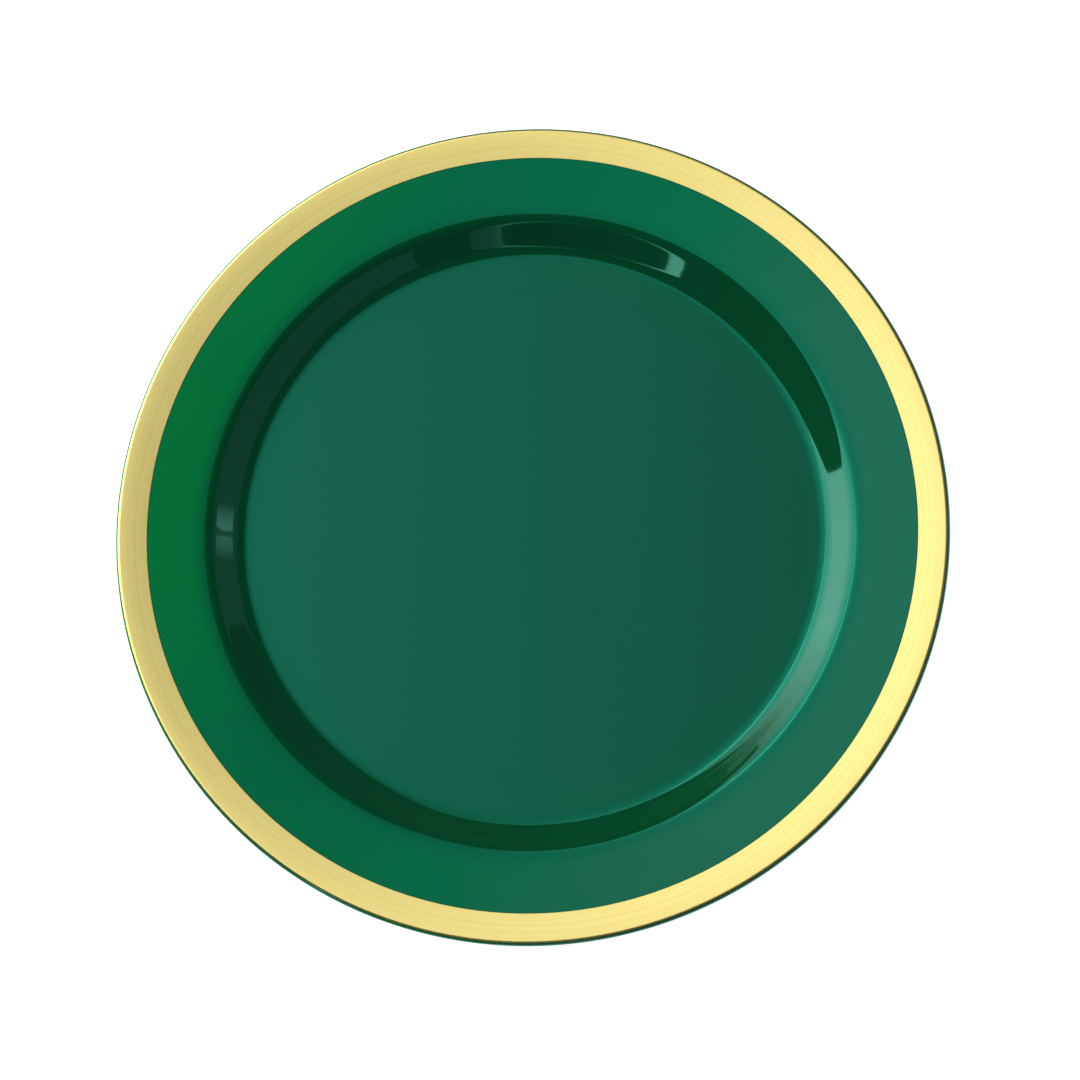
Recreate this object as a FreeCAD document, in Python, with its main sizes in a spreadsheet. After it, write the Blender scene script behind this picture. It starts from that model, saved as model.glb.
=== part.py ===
import FreeCAD, Part
import math
import os

import Sketcher

# A round dinner plate of glazed china: a flat well, a short sloping wall and a wide flange that
# rises gently to a rounded edge. The clay body carries its own foot ring. Coloured glaze covers it
# all over except on the foot, where it is wiped off before firing, and a band of gold is fired onto
# the glaze along the edge.
#
# Millimetres, +Z up. The origin is the centre of the circle that the foot ring rests on.

doc = FreeCAD.newDocument("DinnerPlate")


# ---------------------------------------------------------------- driving dimensions

SIZES = {
    # the finished plate, glaze and gold included
    "plate_diameter": 267.0,
    "plate_height": 18.9,
    # the upper side of the clay body
    "flange_width": 29.6,
    "flange_slope": 10.0,
    "wall_slope": 42.0,
    "well_round": 8.0,
    "flange_round": 7.0,
    # how thick the clay is
    "floor_thickness": 3.8,
    "flange_thickness": 3.4,
    "edge_thickness": 2.7,
    "edge_round": 1.1,
    # the foot ring, set in from where the underside begins to curve up into the wall
    "foot_setback": 5.0,
    "foot_width": 4.6,
    "foot_height": 2.2,
    "foot_round": 0.7,
    "foot_root": 0.9,
    # the fired layers
    "glaze_thickness": 0.35,
    "bare_height": 1.0,
    "gold_thickness": 0.12,
    "gold_width": 9.1,
    "gold_setback": 0.9,
}

sheet = doc.addObject("Spreadsheet::Sheet", "Sizes")
for row, (alias, size) in enumerate(SIZES.items(), start=1):
    sheet.set(f"A{row}", alias)
    sheet.set(f"B{row}", str(size))
    sheet.setAlias(f"B{row}", alias)
doc.recompute()


def number(expression):
    """What an expression on the sheet works out to, in millimetres or as a plain number."""
    return FreeCAD.Units.Quantity(sheet.evalExpression(expression)).Value


# ---------------------------------------------------------------- corners of the clay body's section

# Each corner is where two straight stretches of the section would meet if nothing rounded them:
# its distance from the axis, its height, and the radius that rounds it, as expressions on the sheet.
# Rounding takes a little off the top corner of the edge, so that corner stands higher than the clay.

round_loss = "Sizes.edge_round * (tan(Sizes.flange_slope) + 1 / cos(Sizes.flange_slope) - 1)"
clay_top = "(Sizes.plate_height - Sizes.gold_thickness - Sizes.glaze_thickness)"

edge_x = "(Sizes.plate_diameter / 2 - Sizes.glaze_thickness)"
edge_top = f"({clay_top} + {round_loss})"
edge_bottom = f"({edge_top} - Sizes.edge_thickness)"

flange_x = f"({edge_x} - Sizes.flange_width)"
flange_z = f"({edge_top} - Sizes.flange_width * tan(Sizes.flange_slope))"

floor_z = "(Sizes.foot_height + Sizes.floor_thickness)"
floor_x = f"({flange_x} - ({flange_z} - {floor_z}) / tan(Sizes.wall_slope))"


def below(x, z, slope_in, slope_out, thickness):
    """The corner on the underside that keeps the clay this thick where two slopes meet at x, z."""
    half_turn = f"(({slope_out} - {slope_in}) / 2)"
    mean_slope = f"(({slope_out} + {slope_in}) / 2)"
    under_x = f"({x} + {thickness} * sin({mean_slope}) / cos({half_turn}))"
    under_z = f"({z} - {thickness} * cos({mean_slope}) / cos({half_turn}))"
    return under_x, under_z


under_well_round = "(Sizes.well_round + Sizes.floor_thickness)"
under_floor = below(floor_x, floor_z, "0", "Sizes.wall_slope", "Sizes.floor_thickness")
under_flange = below(
    flange_x, flange_z, "Sizes.wall_slope", "Sizes.flange_slope", "Sizes.flange_thickness"
)

flat_underside = f"({under_floor[0]} - {under_well_round} * tan(Sizes.wall_slope / 2))"
foot_outer = f"({flat_underside} - Sizes.foot_setback - Sizes.foot_root)"
foot_inner = f"({foot_outer} - Sizes.foot_width)"

CLAY_SECTION = [
    ("0", floor_z, None),
    (floor_x, floor_z, "Sizes.well_round"),
    (flange_x, flange_z, "Sizes.flange_round"),
    (edge_x, edge_top, "Sizes.edge_round"),
    (edge_x, edge_bottom, "Sizes.edge_round"),
    (*under_flange, "(Sizes.flange_round - Sizes.flange_thickness)"),
    (*under_floor, under_well_round),
    (foot_outer, "Sizes.foot_height", "Sizes.foot_root"),
    (foot_outer, "0", "Sizes.foot_round"),
    (foot_inner, "0", "Sizes.foot_round"),
    (foot_inner, "Sizes.foot_height", "Sizes.foot_root"),
    ("0", "Sizes.foot_height", None),
]


# ---------------------------------------------------------------- drawing a section

START, END, SKETCH_ORIGIN = 1, 2, -1


def origin_plane(body, role):
    """One of the planes that a body brings with it."""
    return next(plane for plane in body.Origin.OriginFeatures if plane.Role == role)


def turn_ends(corner, last, following, radius):
    """Where the rounding of a corner begins and ends, which is the corner itself if it is sharp."""
    to_last = (last - corner).normalize()
    to_next = (following - corner).normalize()
    reach = radius / math.tan(to_last.getAngle(to_next) / 2)
    return corner + to_last * reach, corner + to_next * reach


def rounding(corner, begin, end, radius):
    """The arc that rounds a corner, and which of its ends meets begin and which meets end.

    A sketch keeps its arcs anticlockwise, so the arc of a clockwise turn starts at end.
    """
    chord_middle = (begin + end) / 2
    to_corner = (corner - chord_middle).normalize()
    bulge = radius - math.sqrt(radius**2 - (end - begin).Length ** 2 / 4)
    middle = chord_middle + to_corner * bulge
    if (corner - begin).cross(end - corner).z > 0:
        return Part.Arc(begin, middle, end), (START, END)
    return Part.Arc(end, middle, begin), (END, START)


def draw_section(sketch, section):
    """Draws a closed outline through corners rounded by arcs, with every size tied to the sheet.

    The corners are construction points. The lines pass through them, and the arcs are tangent to
    the lines.
    """
    count = len(section)
    points = [FreeCAD.Vector(number(x), number(z), 0) for x, z, radius in section]
    radii = [number(radius) if radius else 0.0 for x, z, radius in section]
    ends = [
        turn_ends(points[i], points[i - 1], points[(i + 1) % count], radii[i]) for i in range(count)
    ]
    corners = [sketch.addGeometry(Part.Point(point), True) for point in points]
    lines = [
        sketch.addGeometry(Part.LineSegment(ends[i][1], ends[(i + 1) % count][0])) for i in range(count)
    ]
    rules = []
    sizes = {}
    for i, (x, z, radius) in enumerate(section):
        corner, line_in, line_out = corners[i], lines[i - 1], lines[i]
        for kind, place in (("DistanceX", x), ("DistanceY", z)):
            sizes[len(rules)] = place
            rules.append(Sketcher.Constraint(kind, SKETCH_ORIGIN, START, corner, START, number(place)))
        if radius is None:
            rules.append(Sketcher.Constraint("Coincident", line_in, END, corner, START))
            rules.append(Sketcher.Constraint("Coincident", line_out, START, corner, START))
            continue
        curve, (curve_in, curve_out) = rounding(points[i], *ends[i], radii[i])
        arc = sketch.addGeometry(curve)
        rules.append(Sketcher.Constraint("PointOnObject", corner, START, line_in))
        rules.append(Sketcher.Constraint("PointOnObject", corner, START, line_out))
        rules.append(Sketcher.Constraint("Tangent", line_in, END, arc, curve_in))
        rules.append(Sketcher.Constraint("Tangent", arc, curve_out, line_out, START))
        sizes[len(rules)] = radius
        rules.append(Sketcher.Constraint("Radius", arc, number(radius)))
    sketch.addConstraint(rules)
    for index, expression in sizes.items():
        sketch.setExpression(f"Constraints[{index}]", expression)


# ---------------------------------------------------------------- the clay body, turned on its axis

clay = doc.addObject("PartDesign::Body", "porcelain_body")
clay_section = clay.newObject("Sketcher::SketchObject", "clay_section")
clay_section.AttachmentSupport = [(origin_plane(clay, "XZ_Plane"), "")]
clay_section.MapMode = "FlatFace"
draw_section(clay_section, CLAY_SECTION)

turned_clay = clay.newObject("PartDesign::Revolution", "turned_clay")
turned_clay.Profile = clay_section
turned_clay.ReferenceAxis = (clay_section, ["V_Axis"])
turned_clay.Angle = 360
clay.Tip = turned_clay
doc.recompute()


# ---------------------------------------------------------------- tools for the fired layers


def bind(target, sizes):
    """Ties properties of an object to expressions on the sheet."""
    for target_property, expression in sizes.items():
        target.setExpression(target_property, expression)
    return target


def upright_cylinder(name, radius, height, base="0"):
    """A cylinder on the plate's axis that trims a layer."""
    trim = doc.addObject("Part::Cylinder", name)
    return bind(trim, {"Radius": radius, "Height": height, "Placement.Base.z": base})


def coated(name, thickness):
    """The clay body with a coat of this thickness all round it."""
    coat = doc.addObject("Part::Offset", name)
    coat.Source = clay
    return bind(coat, {"Value": thickness})


def boolean(kind, name, base, tool):
    """A shape made of two others by Cut or Common."""
    result = doc.addObject(f"Part::{kind}", name)
    result.Base = base
    result.Tool = tool
    return result


# ---------------------------------------------------------------- the glaze

# The glaze is all that lies within one coat of the clay, above the line that the foot is wiped to.
# The bare foot parts it in two: the coat over the plate, and the disc inside the foot ring.

dipped_clay = coated("dipped_clay", "Sizes.glaze_thickness")
glaze_coat = boolean("Cut", "glaze_coat", dipped_clay, clay)
wiped_foot = upright_cylinder(
    "wiped_foot",
    "Sizes.plate_diameter",
    "Sizes.bare_height + Sizes.glaze_thickness",
    "-Sizes.glaze_thickness",
)
wiped_coat = boolean("Cut", "wiped_coat", glaze_coat, wiped_foot)
inside_foot = upright_cylinder(
    "inside_foot", f"{foot_outer} - Sizes.foot_width / 2", "Sizes.foot_height + Sizes.floor_thickness / 2"
)
face_glaze = boolean("Cut", "green_glaze", wiped_coat, inside_foot)
foot_well_glaze = boolean("Common", "foot_well_glaze", wiped_coat, inside_foot)


# ---------------------------------------------------------------- the gold band

# The gold lies on the glaze. It begins a little in from the very edge, which stays green, and keeps
# to the upper side: a cone through the middle of the flange's thickness parts the upper skin from
# the one underneath.

gilded_plate = coated("gilded_plate", "Sizes.glaze_thickness + Sizes.gold_thickness")
gold_skin = boolean("Cut", "gold_skin", gilded_plate, dipped_clay)

band_outer = upright_cylinder(
    "band_outer", "Sizes.plate_diameter / 2 - Sizes.gold_setback", "2 * Sizes.plate_height"
)
band_inner = upright_cylinder(
    "band_inner",
    "Sizes.plate_diameter / 2 - Sizes.gold_setback - Sizes.gold_width",
    "2 * Sizes.plate_height",
)
band_ring = boolean("Cut", "band_ring", band_outer, band_inner)

above_middle = bind(
    doc.addObject("Part::Cone", "above_middle"),
    {
        "Radius1": flange_x,
        "Radius2": f"{edge_x} + Sizes.flange_width",
        "Height": "2 * Sizes.flange_width * tan(Sizes.flange_slope)",
        "Placement.Base.z": f"{flange_z} - Sizes.edge_thickness / 2",
    },
)
upper_ring = boolean("Common", "upper_ring", band_ring, above_middle)
gold_band = boolean("Common", "gold_band", gold_skin, upper_ring)


# ---------------------------------------------------------------- checking and writing

SUBPARTS = [clay, face_glaze, foot_well_glaze, gold_band]

doc.recompute()
for item in doc.Objects:
    if "Invalid" in item.State or "Error" in item.State:
        raise RuntimeError(f"{item.Name} failed: {item.State}")
for subpart in SUBPARTS:
    if subpart.Shape.isNull() or not subpart.Shape.isValid() or not subpart.Shape.Solids:
        raise RuntimeError(f"{subpart.Label} has no sound solid")

os.makedirs("parts", exist_ok=True)
for subpart in SUBPARTS:
    subpart.Shape.exportStep(f"parts/{subpart.Label}.step")
    box = subpart.Shape.BoundBox
    print(
        f"{subpart.Label}: {len(subpart.Shape.Solids)} solid, {subpart.Shape.Volume:.1f} mm3,"
        f" across {box.XLength:.2f}, from z {box.ZMin:.2f} to {box.ZMax:.2f}"
    )
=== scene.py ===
# %% [markdown]
# # A green and gold china dinner plate
#
# A china plate is four things that never come apart: a pressed clay body, a coloured glaze melted
# over nearly all of it, the same glaze inside the foot ring, and a band of gold fired on top.
# The CAD frame says how big each one is. This lesson turns each layer again as a fine, smooth
# solid, gives it its own finish, and sets it under soft studio lights.

# %% Load the frame
import math

import bmesh
import bpy
from mathutils import Matrix, Quaternion, Vector


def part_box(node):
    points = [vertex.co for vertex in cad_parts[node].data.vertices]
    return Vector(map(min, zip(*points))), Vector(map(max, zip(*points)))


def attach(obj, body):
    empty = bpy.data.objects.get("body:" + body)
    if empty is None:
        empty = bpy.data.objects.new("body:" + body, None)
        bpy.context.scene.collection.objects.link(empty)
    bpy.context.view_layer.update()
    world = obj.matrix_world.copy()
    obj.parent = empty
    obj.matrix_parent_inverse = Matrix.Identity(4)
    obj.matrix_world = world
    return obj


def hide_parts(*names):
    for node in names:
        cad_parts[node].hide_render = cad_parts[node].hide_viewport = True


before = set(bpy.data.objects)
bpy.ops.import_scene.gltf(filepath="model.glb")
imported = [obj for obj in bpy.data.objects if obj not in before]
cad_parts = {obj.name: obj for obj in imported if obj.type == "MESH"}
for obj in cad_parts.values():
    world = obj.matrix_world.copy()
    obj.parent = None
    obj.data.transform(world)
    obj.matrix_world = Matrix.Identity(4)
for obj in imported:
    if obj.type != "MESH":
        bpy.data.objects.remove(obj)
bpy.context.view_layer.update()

# %% [markdown]
# ## The sizes
#
# Every layer of the plate is a shape turned round one upright axis, so its widest point and its
# two heights say most of what there is to know. Those come from the CAD layers. The slopes, the
# roundings and the thickness of the clay can't be read off a box, so they are repeated here by
# name, and the corners are worked out from them in the next cells.

# %% Sizes read from the frame
mm = 0.001


def reach(node):
    """How far a turned CAD layer reaches from the axis, and its lowest and highest point."""
    low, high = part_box(node)
    return high.x, low.z, high.z


clay_radius, resting_height, clay_top = reach("porcelain_body")
glazed_radius, bare_height, glaze_top = reach("green_glaze")
foot_inner_radius, _, underside_height = reach("foot_well_glaze")
gold_outer_radius, _, gold_top = reach("gold_band")

glaze_thickness = glazed_radius - clay_radius
gold_thickness = gold_top - glaze_top
print(f"glaze {glaze_thickness / mm:.2f} mm thick, gold {gold_thickness / mm:.2f} mm thick")

# %% Sizes that the potter chose
flange_width = 29.6 * mm
flange_slope = math.radians(10)
wall_slope = math.radians(42)
well_round = 8 * mm
flange_round = 7 * mm
floor_thickness = 3.8 * mm
flange_thickness = 3.4 * mm
edge_thickness = 2.7 * mm
edge_round = 1.1 * mm
foot_width = 4.6 * mm
foot_round = 0.7 * mm
foot_root = 0.9 * mm
gold_width = 9.1 * mm

gold_inner_radius = gold_outer_radius - gold_width
foot_outer_radius = foot_inner_radius + foot_width

# %% [markdown]
# ## The corners of the clay
#
# A potter's profile template is straight runs joined by roundings. Each corner below is where two
# runs would meet if nothing rounded them: its distance from the axis, its height and its rounding.
# The list could be drawn as a smooth freehand curve instead, but corners keep the true slopes, and
# the same list can be grown by the thickness of a glaze.

# %% Corners from the middle of the floor, round the edge, to the middle of the underside
round_loss = edge_round * (math.tan(flange_slope) + 1 / math.cos(flange_slope) - 1)
edge_top = clay_top + round_loss
edge_bottom = edge_top - edge_thickness
flange_corner = Vector((clay_radius - flange_width, edge_top - flange_width * math.tan(flange_slope)))
floor_height = underside_height + floor_thickness
floor_corner = Vector(
    (flange_corner.x - (flange_corner.y - floor_height) / math.tan(wall_slope), floor_height)
)


def below(corner, slope_in, slope_out, thickness):
    """The underside corner that keeps the clay this thick where two slopes meet."""
    lean = (slope_in + slope_out) / 2
    stretch = thickness / math.cos((slope_out - slope_in) / 2)
    return corner + Vector((math.sin(lean), -math.cos(lean))) * stretch


under_floor = below(floor_corner, 0, wall_slope, floor_thickness)
under_flange = below(flange_corner, wall_slope, flange_slope, flange_thickness)

UPPER_SIDE = [
    (Vector((0, floor_height)), 0),
    (floor_corner, well_round),
    (flange_corner, flange_round),
    (Vector((clay_radius, edge_top)), edge_round),
]
UNDERSIDE = [
    (Vector((clay_radius, edge_bottom)), edge_round),
    (under_flange, flange_round - flange_thickness),
    (under_floor, well_round + floor_thickness),
    (Vector((foot_outer_radius, underside_height)), foot_root),
]
FOOT = [
    (Vector((foot_outer_radius, resting_height)), foot_round),
    (Vector((foot_inner_radius, resting_height)), foot_round),
]
FOOT_WELL = [
    (Vector((foot_inner_radius, underside_height)), foot_root),
    (Vector((0, underside_height)), 0),
]
print(f"floor {floor_height / mm:.2f} mm up, wall {(flange_corner - floor_corner).length / mm:.1f} mm long")

# %% [markdown]
# ## Growing a section by the thickness of a glaze
#
# Melted glaze lies evenly on the clay, so its outer side is the clay's outline moved outwards by
# one thickness. Solidify could do it on the finished mesh, but moving each corner along its mitre
# keeps every run straight and every rounding a true arc: inside bends tighten and outside bends
# open by exactly the glaze.

# %% Move a list of corners outwards
def outward(begin, end):
    """The side that faces out of the clay, for a section drawn from the floor round to the underside."""
    along = (end - begin).normalized()
    return Vector((-along.y, along.x))


def turns_inside(before, corner, after):
    """True where the outline bends towards its outer side, as at the foot of the wall."""
    return outward(before, corner).dot(after - corner) > 0


def grown(corners, thickness):
    """The same corners with a layer of this thickness laid over them."""
    places = [place for place, _ in corners]
    layer = []
    for index, (place, rounding) in enumerate(corners):
        sides = []
        if index > 0:
            sides.append(outward(places[index - 1], place))
        if index < len(corners) - 1:
            sides.append(outward(place, places[index + 1]))
        mitre = (sides[0] + sides[-1]) / (1 + sides[0].dot(sides[-1]))
        if rounding:
            inside = turns_inside(places[index - 1], place, places[index + 1])
            rounding += -thickness if inside else thickness
        layer.append((place + mitre * thickness, rounding))
    return layer


# %% [markdown]
# ## Drawing the section as a wire
#
# A lathe needs half the outline. The wire starts as one vertex: extruding it makes the straight
# runs, and spinning that same vertex about the centre of a rounding makes a true arc. Bevelling
# the corners afterwards is quicker to write, but a bevel's curve is only round at a right angle,
# and a glossy wall shows the difference. Long runs are cut short so that shading stays even.

# %% Extrude and spin one vertex along the corners
LONGEST_RUN = 4 * mm
ARC_FLATNESS = 0.002 * mm


def upright(place):
    """A point of the section as a point in space, in the plane y = 0."""
    return Vector((place.x, 0, place.y))


def run_to(outline, tip, end):
    """Extrudes the tip of the wire to an end point in equal short runs."""
    start = tip.co.copy()
    count = max(1, math.ceil((end - start).length / LONGEST_RUN))
    for step in range(1, count + 1):
        made = bmesh.ops.extrude_vert_indiv(outline, verts=[tip])
        tip = made["verts"][0]
        tip.co = start.lerp(end, step / count)
    return tip


def turn_about(outline, tip, centre, angle):
    """Spins the tip of the wire about a centre, in steps too short to show as facets."""
    rounding = (tip.co - centre).length
    step = math.sqrt(8 * ARC_FLATNESS / rounding)
    made = bmesh.ops.spin(
        outline,
        geom=[tip],
        cent=centre,
        axis=(0, -1, 0),
        angle=angle,
        steps=max(2, math.ceil(abs(angle) / step)),
        use_merge=False,
        use_duplicate=False,
    )
    return next(item for item in made["geom_last"] if isinstance(item, bmesh.types.BMVert))


def draw_wire(outline, corners):
    """Draws runs and roundings through the corners, and gives the first and the last vertex."""
    first = tip = outline.verts.new(upright(corners[0][0]))
    for index in range(1, len(corners) - 1):
        place, rounding = corners[index]
        before = corners[index - 1][0]
        after = corners[index + 1][0]
        if not rounding:
            tip = run_to(outline, tip, upright(place))
            continue
        towards = (place - before).normalized()
        onwards = (after - place).normalized()
        bend = math.atan2(towards.x * onwards.y - towards.y * onwards.x, towards.dot(onwards))
        begin = place - towards * rounding * math.tan(abs(bend) / 2)
        side = Vector((-towards.y, towards.x)) * math.copysign(rounding, bend)
        tip = run_to(outline, tip, upright(begin))
        tip = turn_about(outline, tip, upright(begin + side), bend)
    return first, run_to(outline, tip, upright(corners[-1][0]))


# %% [markdown]
# ## Turning a section into a solid
#
# The wheel does the rest: one full spin about the upright axis. The number of steps is a multiple
# of four, so the plate is exactly as wide as its section on both axes. Where the section touches
# the axis every step leaves a copy of the same vertex, and merging those closes the pole.

# %% Spin the wire and make a piece
TURNING_STEPS = 256
SHARP_FROM = math.radians(40)


def turn_on_wheel(name, outline):
    """Spins the outline right round and makes a smooth, closed piece with its faces outwards."""
    bmesh.ops.spin(
        outline,
        geom=outline.verts[:] + outline.edges[:],
        cent=(0, 0, 0),
        axis=(0, 0, 1),
        angle=math.tau,
        steps=TURNING_STEPS,
        use_merge=True,
        use_duplicate=False,
    )
    bmesh.ops.remove_doubles(outline, verts=outline.verts[:], dist=0.001 * mm)
    bmesh.ops.recalc_face_normals(outline, faces=outline.faces[:])
    for face in outline.faces:
        face.smooth = True
    open_edges = [edge for edge in outline.edges if len(edge.link_faces) != 2]
    mesh = bpy.data.meshes.new(name)
    outline.to_mesh(mesh)
    outline.free()
    mesh.set_sharp_from_angle(angle=SHARP_FROM)
    piece = bpy.data.objects.new(name, mesh)
    bpy.context.scene.collection.objects.link(piece)
    triangles = sum(len(face.vertices) - 2 for face in mesh.polygons)
    print(f"{name}: {triangles} triangles, {len(open_edges)} open edges")
    return piece


# %% [markdown]
# ## The clay body
#
# On the real plate this is one pressed and fired piece of white china. Only the ring that it
# stands on is left bare, because glaze there would weld it to the kiln shelf. It is turned whole,
# so that the layers above lie on something solid.

# %% Turn the clay body
clay_outline = bmesh.new()
draw_wire(clay_outline, UPPER_SIDE + UNDERSIDE + FOOT + FOOT_WELL)
clay_body = turn_on_wheel("clay_body", clay_outline)

# %% [markdown]
# ## The two coats of glaze
#
# The plate is dipped in glaze and its foot is wiped clean, which leaves one coat over the face,
# the edge and the outside of the back, and another inside the foot ring. Each is a thin closed
# shell: out along the grown outline, across the wiped end, and back along the clay.

# %% Turn a coat from the clay corners that it covers
def turn_coat(name, covered):
    """A shell of glaze over these corners of the clay, closed across each end that was wiped."""
    outline = bmesh.new()
    glaze_tips = draw_wire(outline, grown(covered, glaze_thickness))
    clay_tips = draw_wire(outline, covered)
    for glaze_tip, clay_tip in zip(glaze_tips, clay_tips):
        if clay_tip.co.x > 0:
            outline.edges.new((glaze_tip, clay_tip))
    return turn_on_wheel(name, outline)


wiped_outside = (Vector((foot_outer_radius, bare_height)), 0)
wiped_inside = (Vector((foot_inner_radius, bare_height)), 0)
green_coat = turn_coat("green_glaze_coat", UPPER_SIDE + UNDERSIDE + [wiped_outside])
foot_well_coat = turn_coat("foot_well_coat", [wiped_inside] + FOOT_WELL)

# %% [markdown]
# ## The gold band
#
# Liquid gold is brushed over the fired glaze while the plate spins, so the band follows the glaze
# and ends in two clean circles. The same idea works here: draw the outline of the glaze and the
# outline of the gold, trim both at the band's two edges, and close the ends.

# %% Trim two outlines to the band and turn it
def trim(outline, distance, keep_outside):
    """Cuts the wires at a distance from the axis and keeps one side."""
    bmesh.ops.bisect_plane(
        outline,
        geom=outline.verts[:] + outline.edges[:],
        dist=0.0001 * mm,
        plane_co=(distance, 0, 0),
        plane_no=(1, 0, 0),
        clear_inner=keep_outside,
        clear_outer=not keep_outside,
    )


gold_outline = bmesh.new()
flange_and_edge = [(flange_corner, 0), UPPER_SIDE[-1], (UNDERSIDE[0][0], 0)]
draw_wire(gold_outline, grown(flange_and_edge, glaze_thickness))
draw_wire(gold_outline, grown(flange_and_edge, glaze_thickness + gold_thickness))
trim(gold_outline, gold_inner_radius, keep_outside=True)
trim(gold_outline, gold_outer_radius, keep_outside=False)
loose_ends = [tip for tip in gold_outline.verts if len(tip.link_edges) == 1]
loose_ends.sort(key=lambda tip: tip.co.x)
gold_outline.edges.new(loose_ends[:2])
gold_outline.edges.new(loose_ends[2:])
gold_band = turn_on_wheel("gold_rim_band", gold_outline)

# %% [markdown]
# ## Building materials out of nodes
#
# A finish is a small network: where on the piece a point is, what pattern it meets there, and
# which socket of the shader that pattern changes. A short helper that places a node and fills in
# its sockets keeps the recipes below readable.

# %% Place a node
def add_node(tree, kind, settings=None, **sockets):
    """Adds a node. A socket is given by its name, with _ for a space, as a value or a link."""
    made = tree.nodes.new(kind)
    for key, value in (settings or {}).items():
        setattr(made, key, value)
    for key, value in sockets.items():
        socket = made.inputs[int(key[1:])] if key[0] == "_" else made.inputs[key.replace("_", " ")]
        if isinstance(value, bpy.types.NodeSocket):
            tree.links.new(value, socket)
        else:
            socket.default_value = value
    return made


def maths(tree, operation, first, second=0.5, third=0.5, clamp=False):
    """One step of arithmetic, as a link."""
    step = add_node(
        tree, "ShaderNodeMath", {"operation": operation, "use_clamp": clamp},
        _0=first, _1=second, _2=third,
    )
    return step.outputs[0]


def blend_colour(tree, amount, from_colour, to_colour):
    """Goes from one colour to another, as a link."""
    step = tree.nodes.new("ShaderNodeMix")
    step.data_type = "RGBA"
    for index, value in ((0, amount), (6, from_colour), (7, to_colour)):
        socket = step.inputs[index]
        if isinstance(value, bpy.types.NodeSocket):
            tree.links.new(value, socket)
        else:
            socket.default_value = value
    return step.outputs[2]


def ramp(tree, value, begin, end):
    """0 below begin, 1 above end, smooth between."""
    step = add_node(
        tree, "ShaderNodeMapRange", {"interpolation_type": "SMOOTHSTEP"},
        Value=value, From_Min=begin, From_Max=end, To_Min=0.0, To_Max=1.0,
    )
    return step.outputs[0]


def noise(tree, place, scale, detail=2.0, roughness=0.5):
    """Soft random cloud between 0 and 1, as a link."""
    step = add_node(
        tree, "ShaderNodeTexNoise",
        Vector=place, Scale=scale, Detail=detail, Roughness=roughness,
    )
    return step.outputs[0]


# %% [markdown]
# ## Effects that several finishes share
#
# A ripple too shallow to feel runs through every fired surface, and all of them have some grain.
# As node groups they are built once, and each material places them with its own numbers.

# %% New group with named sockets
def start_group(name, inputs, outputs):
    """A shader group with number inputs, given with their usual values, and number outputs."""
    group = bpy.data.node_groups.new(name, "ShaderNodeTree")
    for key, usual in inputs.items():
        made = group.interface.new_socket(key, in_out="INPUT", socket_type="NodeSocketFloat")
        made.default_value = usual
    for key in outputs:
        group.interface.new_socket(key, in_out="OUTPUT", socket_type="NodeSocketFloat")
    return group, group.nodes.new("NodeGroupInput"), group.nodes.new("NodeGroupOutput")


def place_group(tree, group, **sockets):
    """Puts a shared effect into a material."""
    return add_node(tree, "ShaderNodeGroup", {"node_tree": group}, **sockets)


# %% The ripple of a melted surface, with a rare pinhole
def make_fired_ripple():
    """Height of a melted skin: long soft waves, fine orange peel and a few tiny pinholes."""
    group, given, result = start_group(
        "fired_ripple", {"Waves": 60.0, "Peel": 900.0, "Pinholes": 0.15}, ["Height", "Cloud"]
    )
    place = group.nodes.new("ShaderNodeTexCoord").outputs["Object"]
    waves = noise(group, place, given.outputs["Waves"])
    peel = noise(group, place, given.outputs["Peel"], detail=1.0)
    cells = add_node(
        group, "ShaderNodeTexVoronoi", {"feature": "F1"}, Vector=place, Scale=120.0, Randomness=1.0
    )
    hole = maths(group, "SUBTRACT", 1.0, ramp(group, cells.outputs["Distance"], 0.02, 0.05))
    chosen = ramp(group, noise(group, place, 9.0), 0.62, 0.64)
    pit = maths(group, "MULTIPLY", maths(group, "MULTIPLY", hole, chosen), given.outputs["Pinholes"])
    swell = maths(group, "MULTIPLY_ADD", peel, 0.12, waves)
    group.links.new(maths(group, "SUBTRACT", swell, pit), result.inputs["Height"])
    group.links.new(waves, result.inputs["Cloud"])
    return group


fired_ripple = make_fired_ripple()


# %% Fine grain
def make_fine_grain():
    """Even, fine grain around 0, such as biscuit china or burnished gold shows."""
    group, given, result = start_group("fine_grain", {"Scale": 2500.0, "Strength": 0.1}, ["Grain"])
    place = group.nodes.new("ShaderNodeTexCoord").outputs["Object"]
    grain = noise(group, place, given.outputs["Scale"], detail=3.0, roughness=0.65)
    centred = maths(group, "SUBTRACT", grain, 0.5)
    group.links.new(
        maths(group, "MULTIPLY", centred, given.outputs["Strength"]), result.inputs["Grain"]
    )
    return group


fine_grain = make_fine_grain()


# %% Start of every material
def start_material(name):
    """A material with a Principled shader wired to its output."""
    material = bpy.data.materials.new(name)
    material.use_nodes = True
    tree = material.node_tree
    tree.nodes.clear()
    shader = tree.nodes.new("ShaderNodeBsdfPrincipled")
    output = tree.nodes.new("ShaderNodeOutputMaterial")
    tree.links.new(shader.outputs[0], output.inputs["Surface"])
    return material, tree, shader


def object_place(tree):
    """Where on the piece a point is, and its distance from the axis."""
    place = tree.nodes.new("ShaderNodeTexCoord").outputs["Object"]
    flat = add_node(tree, "ShaderNodeVectorMath", {"operation": "MULTIPLY"}, _0=place, _1=(1, 1, 0))
    length = add_node(tree, "ShaderNodeVectorMath", {"operation": "LENGTH"}, _0=flat.outputs[0])
    return place, length.outputs["Value"]


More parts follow.
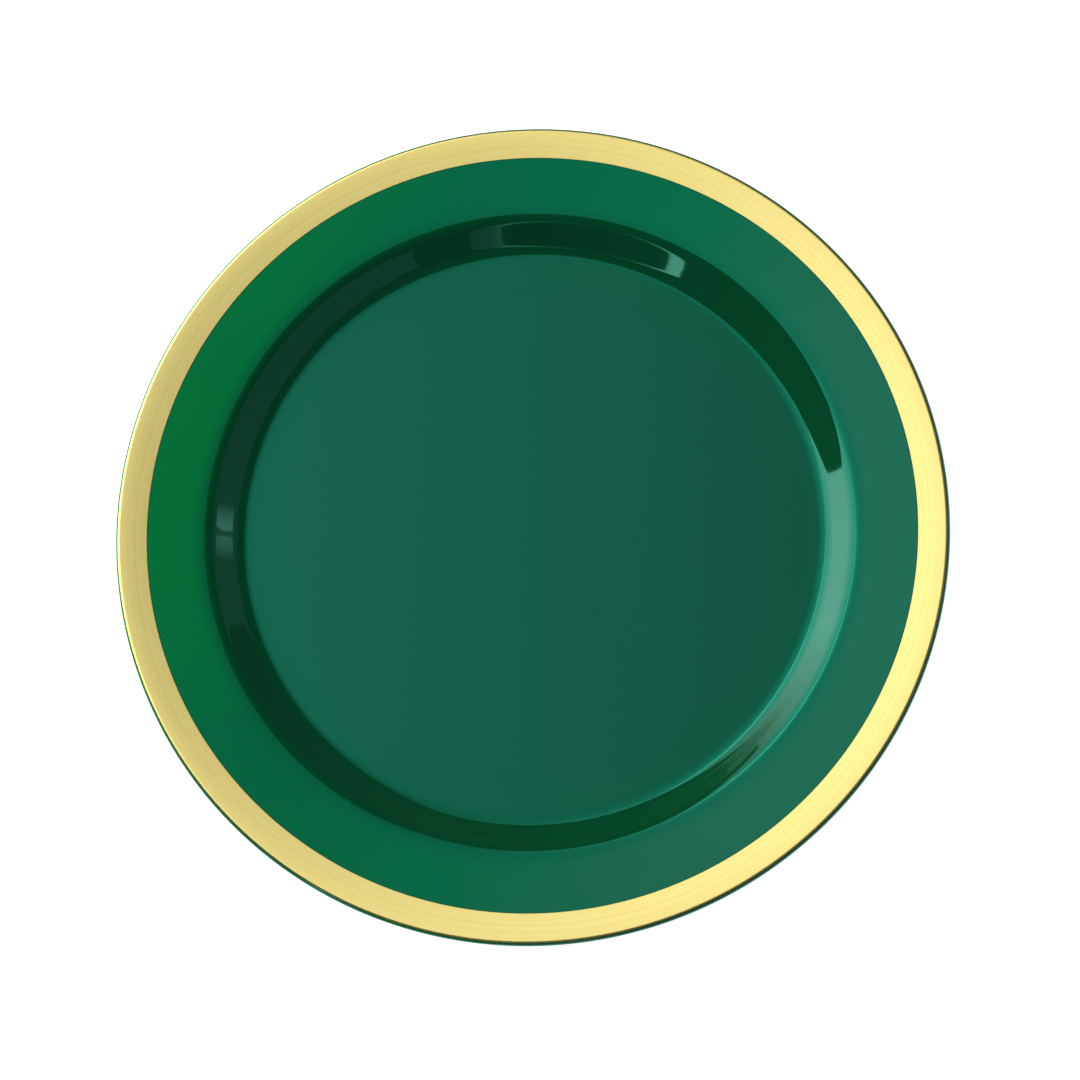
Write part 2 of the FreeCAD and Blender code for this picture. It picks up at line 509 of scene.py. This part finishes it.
def bump(tree, height, strength, distance):
    """A relief from a height, as a link."""
    made = add_node(
        tree, "ShaderNodeBump", Height=height, Strength=strength, Distance=distance
    )
    return made.outputs["Normal"]


# %% [markdown]
# ## The green glaze
#
# A deep copper-and-chrome green: nearly opaque and very glossy. Its colour is partly painted light: it is
# painted brighter and yellower towards the upper left, and greyer and bluer on the right as a painted
# reflection. The wall, the edge of the floor and the middle of the well are painted darker and greyer as
# shade and sheen. A dark hairline of painted shade runs along the gold's inner edge, and faces turned
# sideways or down are painted darker as shade; the real green of the back and the edge is a guess. Real
# transmission would be slow and would hardly show, so the colour lies in the base and the gloss carries
# the same green tint. Only the wall has a thin clear skin over the green, which gives it whiter
# reflections.

# %% Make the green glaze
# Apart from the middle tone DEEP_GREEN, these greens are painted light and shade: a lit side, a greyer side
# of painted reflection, a darker wall, floor and well, a shaded hairline by the gold and a shaded back.
LIT_SIDE_GREEN = (0.0002, 0.178, 0.010, 1)
DEEP_GREEN = (0.0002, 0.104, 0.018, 1)
SHEEN_SIDE_GREEN = (0.0170, 0.084, 0.038, 1)
WALL_SHADE_GREEN = (0.0002, 0.066, 0.018, 1)
FLOOR_SHADE_GREEN = (0.0075, 0.062, 0.024, 1)
WELL_SHADE_GREEN = (0.0080, 0.060, 0.028, 1)
GOLD_EDGE_SHADE_GREEN = (0.0002, 0.020, 0.006, 1)
AWAY_FACING_SHADE_GREEN = (0.0100, 0.050, 0.024, 1)


def make_green_glaze():
    """Glossy green glaze whose colour carries painted light and shade."""
    material, tree, shader = start_material("green_glaze")
    place, distance = object_place(tree)
    ripple = place_group(tree, fired_ripple, Waves=45.0, Peel=700.0, Pinholes=0.2)
    across = add_node(
        tree, "ShaderNodeVectorMath", {"operation": "DOT_PRODUCT"}, _0=place, _1=(-0.94, 0.34, 0)
    ).outputs["Value"]
    # Painted light: the green turns brighter and yellower towards the upper left, and greyer and bluer
    # towards the right as painted reflection.
    lit_side_drift = maths(tree, "MULTIPLY_ADD", ripple.outputs["Cloud"], 30 * mm, across)
    colour = blend_colour(tree, ramp(tree, lit_side_drift, -70 * mm, 10 * mm), SHEEN_SIDE_GREEN, DEEP_GREEN)
    colour = blend_colour(tree, ramp(tree, lit_side_drift, 60 * mm, 140 * mm), colour, LIT_SIDE_GREEN)
    # Painted shade and sheen: darker, greyer greens on the wall, at the edge of the floor and in the middle
    # of the well.
    for zone, corner, from_corner, fade in (
        (WALL_SHADE_GREEN, flange_corner, -0.55 * mm, 7 * mm),
        (FLOOR_SHADE_GREEN, floor_corner, -5.3 * mm, 6 * mm),
        (WELL_SHADE_GREEN, floor_corner, -19.3 * mm, 13 * mm),
    ):
        begin = corner.x + from_corner
        within = maths(tree, "SUBTRACT", 1.0, ramp(tree, distance, begin, begin + fade))
        colour = blend_colour(tree, within, colour, zone)
    # Painted shade: a dark hairline along the inner edge of the gold band.
    from_gold = maths(tree, "ABSOLUTE", maths(tree, "SUBTRACT", distance, gold_inner_radius))
    line = maths(tree, "SUBTRACT", 1.0, ramp(tree, from_gold, 0.1 * mm, 0.5 * mm))
    colour = blend_colour(tree, maths(tree, "MULTIPLY", line, 0.8), colour, GOLD_EDGE_SHADE_GREEN)
    # Painted shade: faces that turn sideways or down, the edge and the back, get a darker, greyer green.
    facing = tree.nodes.new("ShaderNodeTexCoord").outputs["Normal"]
    upwards = ramp(tree, add_node(tree, "ShaderNodeSeparateXYZ", Vector=facing).outputs["Z"], 0.0, 0.6)
    colour = blend_colour(tree, upwards, AWAY_FACING_SHADE_GREEN, colour)
    tree.links.new(colour, shader.inputs["Base Color"])
    smudge = ramp(tree, noise(tree, place, 22.0, detail=3.0), 0.35, 0.75)
    tree.links.new(
        maths(tree, "MULTIPLY_ADD", smudge, 0.03, 0.05), shader.inputs["Roughness"]
    )
    tree.links.new(
        bump(tree, ripple.outputs["Height"], 0.12, 0.15 * mm), shader.inputs["Normal"]
    )
    past_floor = ramp(tree, distance, floor_corner.x - 1.3 * mm, floor_corner.x + 1.7 * mm)
    past_wall = ramp(tree, distance, flange_corner.x - 2.55 * mm, flange_corner.x + 1.45 * mm)
    on_wall = maths(tree, "SUBTRACT", past_floor, past_wall)
    tree.links.new(maths(tree, "MULTIPLY", on_wall, 0.33), shader.inputs["Coat Weight"])
    shader.inputs["IOR"].default_value = 1.65
    shader.inputs["Specular Tint"].default_value = (0.04, 1.0, 0.70, 1)
    return material


green_glaze = make_green_glaze()
print(green_glaze.name, "made of", len(green_glaze.node_tree.nodes), "nodes")

# %% [markdown]
# ## The gold
#
# Fired gold is metal less than a thousandth of a millimetre thick, burnished until it shines softly.
# It takes the ripple of the glaze under it and a fine grain from the burnishing stone, and the
# brush leaves faint rings round the band. So it is a rough metal with grain in its roughness and
# height, and rings that follow the distance from the axis.

# %% Make the gold
PALE_GOLD = (0.81, 0.69, 0.27, 1)
RICH_GOLD = (0.74, 0.60, 0.18, 1)


def make_burnished_gold():
    """Satin gold with fine grain and faint brushed rings."""
    material, tree, shader = start_material("burnished_gold")
    place, distance = object_place(tree)
    grain = place_group(tree, fine_grain, Scale=2600.0, Strength=1.0).outputs["Grain"]
    ripple = place_group(tree, fired_ripple, Waves=60.0, Peel=900.0, Pinholes=0.0)
    ring_place = add_node(tree, "ShaderNodeCombineXYZ", X=distance, Y=0.0, Z=0.0).outputs[0]
    rings = noise(tree, ring_place, 900.0, detail=3.0)
    tone = maths(tree, "MULTIPLY_ADD", grain, 0.8, rings)
    colour = blend_colour(tree, ramp(tree, tone, 0.2, 0.8), RICH_GOLD, PALE_GOLD)
    tree.links.new(colour, shader.inputs["Base Color"])
    rough = maths(tree, "MULTIPLY_ADD", grain, 0.12, 0.21)
    tree.links.new(
        maths(tree, "MULTIPLY_ADD", rings, 0.05, rough), shader.inputs["Roughness"]
    )
    height = maths(tree, "MULTIPLY_ADD", grain, 0.35, ripple.outputs["Height"])
    height = maths(tree, "MULTIPLY_ADD", rings, 0.15, height)
    tree.links.new(bump(tree, height, 0.35, 0.08 * mm), shader.inputs["Normal"])
    shader.inputs["Metallic"].default_value = 1.0
    return material


burnished_gold = make_burnished_gold()
print(burnished_gold.name, "made of", len(burnished_gold.node_tree.nodes), "nodes")

# %% [markdown]
# ## The bare china
#
# The wiped foot ring is dense white china with no glaze: matte, a shade off white, finely grained,
# and a little grey and smooth along the line it slides on. A sprinkle of tiny iron specks is what
# stops it looking like plastic.

# %% Make the bare china
BARE_WHITE = (0.78, 0.75, 0.69, 1)
RUBBED_GREY = (0.50, 0.48, 0.44, 1)
IRON_SPECK = (0.22, 0.16, 0.11, 1)


def make_bare_china():
    """Matte unglazed china, rubbed grey where it stands."""
    material, tree, shader = start_material("bare_china")
    place, distance = object_place(tree)
    height_up = add_node(tree, "ShaderNodeSeparateXYZ", Vector=place).outputs["Z"]
    grain = place_group(tree, fine_grain, Scale=3200.0, Strength=1.0).outputs["Grain"]
    blotches = noise(tree, place, 160.0, detail=4.0)
    standing = maths(tree, "SUBTRACT", 1.0, ramp(tree, height_up, 0.0, 0.25 * mm))
    rubbed = maths(tree, "MULTIPLY", standing, ramp(tree, blotches, 0.35, 0.65))
    colour = blend_colour(tree, maths(tree, "MULTIPLY", rubbed, 0.7), BARE_WHITE, RUBBED_GREY)
    cells = add_node(tree, "ShaderNodeTexVoronoi", {"feature": "F1"}, Vector=place, Scale=700.0)
    speck = maths(tree, "SUBTRACT", 1.0, ramp(tree, cells.outputs["Distance"], 0.08, 0.14))
    few = ramp(tree, noise(tree, place, 400.0), 0.6, 0.65)
    colour = blend_colour(tree, maths(tree, "MULTIPLY", speck, few), colour, IRON_SPECK)
    tree.links.new(colour, shader.inputs["Base Color"])
    tree.links.new(
        maths(tree, "MULTIPLY_ADD", rubbed, -0.25, 0.75), shader.inputs["Roughness"]
    )
    tree.links.new(bump(tree, grain, 0.5, 0.05 * mm), shader.inputs["Normal"])
    return material


bare_china = make_bare_china()
print(bare_china.name, "made of", len(bare_china.node_tree.nodes), "nodes")

# %% [markdown]
# ## Pieces, finishes and frame together
#
# Each new piece stands for the CAD layer it was turned from, gets its finish, and rides on the plate's
# one body. Nothing on a plate moves.

# %% Give each piece its finish and its place in the frame
for piece, node, finish, slot in (
    (clay_body, "porcelain_body", bare_china, "bare_china"),
    (green_coat, "green_glaze", green_glaze, "green_glaze"),
    (foot_well_coat, "foot_well_glaze", green_glaze, "green_glaze"),
    (gold_band, "gold_band", burnished_gold, "gold"),
):
    piece.data.materials.append(finish)
    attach(piece, "root")
    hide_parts(node)

# %% [markdown]
# ## The table it stands on
#
# A plate that is all gloss shows whatever is round it, so the surroundings stay plain: a pale
# floor that gives off a little light of its own, and a pale world seen only by the camera. What
# the plate reflects is the lights and nothing else.

# %% Pale floor and pale world
def make_pale_floor():
    """Near-white, with a faint cloud so that it isn't dead flat."""
    material, tree, shader = start_material("pale_floor")
    place, _ = object_place(tree)
    cloud = noise(tree, place, 6.0)
    colour = blend_colour(tree, cloud, (0.86, 0.86, 0.86, 1), (0.90, 0.90, 0.90, 1))
    tree.links.new(colour, shader.inputs["Base Color"])
    shader.inputs["Roughness"].default_value = 0.9
    shader.inputs["Emission Color"].default_value = (1, 1, 1, 1)
    shader.inputs["Emission Strength"].default_value = 0.92
    return material


floor_outline = bmesh.new()
bmesh.ops.create_circle(floor_outline, cap_ends=True, segments=96, radius=4.0)
floor_mesh = bpy.data.meshes.new("floor")
floor_outline.to_mesh(floor_mesh)
floor_outline.free()
floor = bpy.data.objects.new("floor", floor_mesh)
bpy.context.scene.collection.objects.link(floor)
floor_mesh.transform(Matrix.Translation((0, 0, resting_height - 0.02 * mm)))
floor_mesh.materials.append(make_pale_floor())

# %% World that only the camera sees as pale
SEEN_WORLD = (1.0, 1.0, 1.0, 1)
REFLECTED_WORLD = (0.10, 0.11, 0.11, 1)
world = bpy.data.worlds.new("studio")
world.use_nodes = True
bpy.context.scene.world = world
backdrop = world.node_tree.nodes["Background"]
seen = add_node(world.node_tree, "ShaderNodeLightPath").outputs["Is Camera Ray"]
world.node_tree.links.new(
    blend_colour(world.node_tree, seen, REFLECTED_WORLD, SEEN_WORLD), backdrop.inputs["Color"]
)

# %% [markdown]
# ## The lights
#
# One broad panel hangs over the far side of the table, brighter at its left end. The wall of the
# well leans past it and sees the dark room, which draws the dark ring. A second panel stands low on
# the left, leans a little and lights up the right-hand wall, fading towards its far end. A dim fill
# stands on the right, and two small lamps there leave two soft dots in the left-hand wall. A thin
# strip high on the right adds a faint glint. Every lamp is placed by the direction it is seen in
# from the plate, in degrees: from straight up for the two overhead, and by azimuth and elevation for
# those that stand.

# %% Hang a panel by the directions of its edges
LAMP_HEIGHT = 3.0


def fade_across(lamp, at_left, at_right, settled=1.0):
    """Fades a panel from its left end and holds it steady past the settled share of its width."""
    lamp.use_nodes = True
    tree = lamp.node_tree
    parametric = tree.nodes.new("ShaderNodeNewGeometry").outputs["Parametric"]
    along = add_node(tree, "ShaderNodeSeparateXYZ", Vector=parametric).outputs["X"]
    share = maths(tree, "DIVIDE", along, settled, clamp=True)
    strength = maths(tree, "MULTIPLY_ADD", share, at_right - at_left, at_left)
    tree.links.new(strength, tree.nodes["Emission"].inputs["Strength"])


def hang_panel(name, left, right, near, far, radiance):
    """A flat panel overhead between four directions, each in degrees from straight up."""
    edges = [LAMP_HEIGHT * math.tan(math.radians(angle)) for angle in (left, right, near, far)]
    lamp = bpy.data.lights.new(name, "AREA")
    lamp.shape = "RECTANGLE"
    lamp.size = edges[1] - edges[0]
    lamp.size_y = edges[3] - edges[2]
    lamp.energy = radiance * math.pi * lamp.size * lamp.size_y
    panel = bpy.data.objects.new(name, lamp)
    panel.location = ((edges[0] + edges[1]) / 2, (edges[2] + edges[3]) / 2, LAMP_HEIGHT)
    panel.visible_camera = False
    bpy.context.scene.collection.objects.link(panel)
    return panel


def stand_panel(name, azimuth, elevation, width, height, radiance, away=2.0, lean=0, shape="RECTANGLE"):
    """An upright panel round the table, turned to face the plate, all angles in degrees."""
    turn = math.radians(azimuth)
    rise = math.radians(elevation)
    back = Vector((math.cos(turn) * math.cos(rise), math.sin(turn) * math.cos(rise), math.sin(rise)))
    lamp = bpy.data.lights.new(name, "AREA")
    lamp.shape = shape
    lamp.size = 2 * away * math.tan(math.radians(width / 2))
    lamp.size_y = 2 * away * math.tan(math.radians(height / 2))
    lamp.energy = radiance * math.pi * lamp.size * lamp.size_y
    panel = bpy.data.objects.new(name, lamp)
    panel.location = back * away
    panel.rotation_mode = "QUATERNION"
    roll = Quaternion((0, 0, 1), math.radians(lean))
    panel.rotation_quaternion = back.to_track_quat("Z", "Y") @ roll
    panel.visible_camera = False
    bpy.context.scene.collection.objects.link(panel)
    return panel


overhead = hang_panel("overhead_panel", left=-38, right=9, near=-2, far=49, radiance=1.0)
fade_across(overhead.data, at_left=2.7, at_right=0.53)
hang_panel("thin_strip", left=44.4, right=45.0, near=-12, far=22, radiance=0.7)
left_panel = stand_panel(
    "left_panel", azimuth=149.5, elevation=27, width=50, height=50, radiance=1.0, lean=8
)
fade_across(left_panel.data, at_left=1.2, at_right=3.5, settled=0.45)
stand_panel("right_fill", azimuth=-15, elevation=24, width=90, height=40, radiance=0.18)
for name, azimuth, width, near_end, far_end in (
    ("right_lamp_near", 10.2, 5.4, 0.1, 1.2),
    ("right_lamp_far", 16.4, 4.6, 0.8, 0.1),
):
    lamp = stand_panel(name, azimuth, elevation=17, width=width, height=9, radiance=1.0, shape="ELLIPSE")
    fade_across(lamp.data, near_end, far_end)

# %% [markdown]
# ## A glowing hoop
#
# The far wall of the well shows one closed, thin ring that swells into a bright crescent at one end.
# A flat lamp can't draw that, but the arch of a lit hoop can: the wall's two roundings each show the
# arch once and so close it. The hoop is two half ellipses bridged into a band, the inner one moved
# towards the bright foot.

# %% Draw the hoop, thin over its arch, wider at its feet and brightest at one of them
HOOP_AZIMUTH = math.radians(-106)
HOOP_AWAY = 1.0
HOOP_BASE = 0.36
HOOP_STEPS = 96
HOOP_OUTSIDE = {"middle": 0.01, "half_width": 0.49, "rise": 0.86}
HOOP_INSIDE = {"middle": -0.035, "half_width": 0.37, "rise": 0.83}


def draw_half_ring(band, middle, half_width, rise):
    """Half an upright ellipse as a wire, spun from one vertex and then stretched."""
    foot = band.verts.new((middle + half_width, 0, 0))
    before = set(band.verts)
    bmesh.ops.spin(
        band, geom=[foot], cent=(middle, 0, 0), axis=(0, -1, 0), angle=math.pi,
        steps=HOOP_STEPS, use_merge=False, use_duplicate=False,
    )
    arch = [vert for vert in band.verts if vert is foot or vert not in before]
    bmesh.ops.scale(band, vec=(1, 1, rise / half_width), verts=arch)
    return list({edge for vert in arch for edge in vert.link_edges})


def make_hoop_glow():
    """Emission that grows from the dim foot to the bright one."""
    glow = bpy.data.materials.new("hoop_glow")
    glow.use_nodes = True
    tree = glow.node_tree
    tree.nodes.clear()
    place = tree.nodes.new("ShaderNodeTexCoord").outputs["Object"]
    east = add_node(tree, "ShaderNodeSeparateXYZ", Vector=place).outputs["X"]
    bright_foot = maths(tree, "SUBTRACT", 1.0, ramp(tree, east, -0.72, -0.50))
    dim_foot = ramp(tree, east, -0.10, 0.12)
    strength = maths(tree, "MULTIPLY_ADD", bright_foot, 2.0, 1.3)
    strength = maths(tree, "MULTIPLY_ADD", dim_foot, -1.0, strength)
    emission = add_node(tree, "ShaderNodeEmission", Color=(1, 1, 1, 1), Strength=strength)
    output = tree.nodes.new("ShaderNodeOutputMaterial")
    tree.links.new(emission.outputs[0], output.inputs["Surface"])
    return glow


def make_hoop():
    """Two half rings bridged into a flat band that is turned to face the plate."""
    band = bmesh.new()
    arches = draw_half_ring(band, **HOOP_OUTSIDE) + draw_half_ring(band, **HOOP_INSIDE)
    bmesh.ops.bridge_loops(band, edges=arches)
    facing = Matrix.Rotation(HOOP_AZIMUTH + math.pi / 2, 3, "Z")
    bmesh.ops.rotate(band, cent=(0, 0, 0), verts=band.verts[:], matrix=facing)
    away = Vector((HOOP_AWAY * math.cos(HOOP_AZIMUTH), HOOP_AWAY * math.sin(HOOP_AZIMUTH), HOOP_BASE))
    bmesh.ops.translate(band, vec=away, verts=band.verts[:])
    mesh = bpy.data.meshes.new("hoop")
    band.to_mesh(mesh)
    band.free()
    mesh.materials.append(make_hoop_glow())
    hoop = bpy.data.objects.new("hoop", mesh)
    hoop.visible_camera = False
    hoop.visible_shadow = False
    bpy.context.scene.collection.objects.link(hoop)
    print("hoop:", len(mesh.polygons), "faces")
    return hoop


make_hoop()

# %% [markdown]
# ## The camera
#
# It looks almost straight down through a long lens from a little in front and to the right, so
# the plate is very slightly taller on one side than the other and both sides of the well show.

# %% Place the camera
CAMERA_TILT = math.radians(12.8)
CAMERA_SWING = math.radians(18)
CAMERA_DISTANCE = 0.8115

camera = bpy.data.cameras.new("camera")
camera.lens = 85
camera.sensor_width = 36
camera_object = bpy.data.objects.new("camera", camera)
bpy.context.scene.collection.objects.link(camera_object)
bpy.context.scene.camera = camera_object

looking_back = Vector((
    math.sin(CAMERA_SWING) * math.sin(CAMERA_TILT),
    -math.cos(CAMERA_SWING) * math.sin(CAMERA_TILT),
    math.cos(CAMERA_TILT),
))
to_right = Vector((0, 1, 0)).cross(looking_back).normalized()
to_top = looking_back.cross(to_right)
aim = Vector((3.8 * mm, -5.7 * mm, gold_top))
camera_object.matrix_world = Matrix.Translation(aim + looking_back * CAMERA_DISTANCE) @ Matrix(
    (to_right, to_top, looking_back)
).transposed().to_4x4()
bpy.context.scene.view_settings.view_transform = "Standard"
